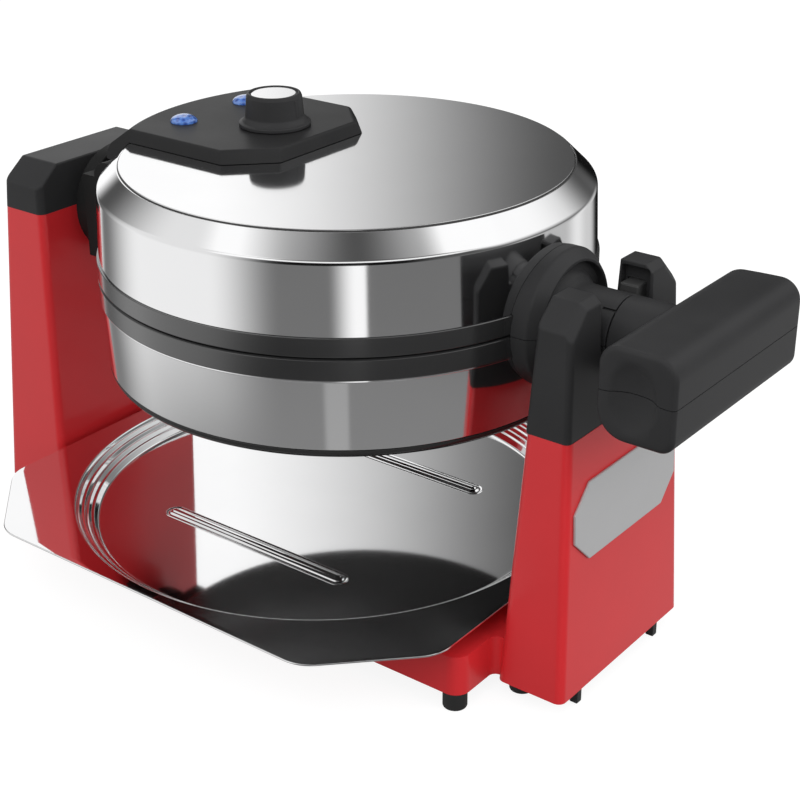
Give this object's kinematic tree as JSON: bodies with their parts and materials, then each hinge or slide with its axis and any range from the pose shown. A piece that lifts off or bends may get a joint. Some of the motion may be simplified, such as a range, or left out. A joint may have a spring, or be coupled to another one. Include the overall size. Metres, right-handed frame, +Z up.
{
  "type": "rotating waffle maker",
  "caption": "Round rotating waffle maker: a hinged steel cooking head turns between two towers over a slide-out drip tray, worked by a bar handle.",
  "frame": {"origin": "on the table under the centre of the whole object's bounding box", "axes": "+X towards the handle end, along the turning axis; -Y is the front, where the tray slides out; +Z up"},
  "size_m": [0.3856, 0.248, 0.2254],
  "materials": {
    "red_shell": "gloss red moulded plastic",
    "black_moulding": "satin black moulded plastic",
    "polished_steel": "mirror polished stainless steel",
    "satin_steel": "fine brushed",
    "plain_steel": "zinc plated",
    "grid_casting": "dark non-stick coating",
    "rubber": "matt",
    "nylon": "natural nylon",
    "lamp_lens": "clear blue moulded lens",
    "circuit_board": "green lacquer",
    "knob_metal": "polished cap"
  },
  "bodies": {
    "base": {"base_shell": "red_shell", "tower_left": "red_shell", "tower_right": "red_shell", "cap_left": "black_moulding", "fork_right": "black_moulding", "saddle": "nylon", "badge_plate": "satin_steel", "bottom_cover": "black_moulding", "tower_cover_left": "black_moulding", "tower_cover_right": "black_moulding", "blade_feet": "black_moulding", "platform_feet": "rubber", "tower_feet": "rubber", "cover_screws": "plain_steel", "hub_bush": "nylon", "cord_gland": "rubber"},
    "head": {"hub": "black_moulding", "hub_clip": "plain_steel", "hinge_bracket": "black_moulding", "hinge_pin": "plain_steel", "lower_shell": "polished_steel", "lower_pan": "black_moulding", "lower_band": "black_moulding", "lower_plate": "grid_casting", "lower_heater": "plain_steel", "lower_collar": "black_moulding", "lower_handle": "black_moulding", "lower_collar_screws": "plain_steel"},
    "lid": {"upper_shell": "polished_steel", "upper_band": "black_moulding", "upper_plate": "grid_casting", "upper_heater": "plain_steel", "lid_knuckle": "black_moulding", "upper_collar": "black_moulding", "upper_handle": "black_moulding", "upper_collar_screws": "plain_steel", "panel": "black_moulding", "power_lens": "lamp_lens", "ready_lens": "lamp_lens", "lamp_board": "circuit_board", "control_body": "plain_steel"},
    "knob": {"knob": "black_moulding", "knob_cap": "knob_metal", "control_shaft": "plain_steel"},
    "tray": {"drip_tray": "polished_steel"},
    "detent_front": {"detent_front": "nylon"},
    "detent_rear": {"detent_rear": "nylon"}
  },
  "joints": [
    {"name": "head_rotation", "type": "hinge", "parent": "base", "child": "head", "pos_m": [0.0008, 0, 0.1565], "axis": [1, 0, 0], "range_deg": [0, 180]},
    {"name": "lid_hinge", "type": "hinge", "parent": "head", "child": "lid", "pos_m": [-0.1232, 0, 0.1765], "axis": [0, 1, 0], "range_deg": [-100, 0]},
    {"name": "knob_turn", "type": "hinge", "parent": "lid", "child": "knob", "pos_m": [-0.0404, 0, 0.2105], "axis": [0, 0, -1], "range_deg": [0, 270]},
    {"name": "tray_slide", "type": "slide", "parent": "base", "child": "tray", "axis": [0, -1, 0], "range_m": [0, 0.16]},
    {"name": "detent_front_push", "type": "slide", "parent": "base", "child": "detent_front", "axis": [0, -1, 0], "range_m": [0, 0.0015], "stiffness_N_per_m": 2000, "springref_m": -0.001},
    {"name": "detent_rear_push", "type": "slide", "parent": "base", "child": "detent_rear", "axis": [0, 1, 0], "range_m": [0, 0.0015], "stiffness_N_per_m": 2000, "springref_m": -0.001}
  ]
}
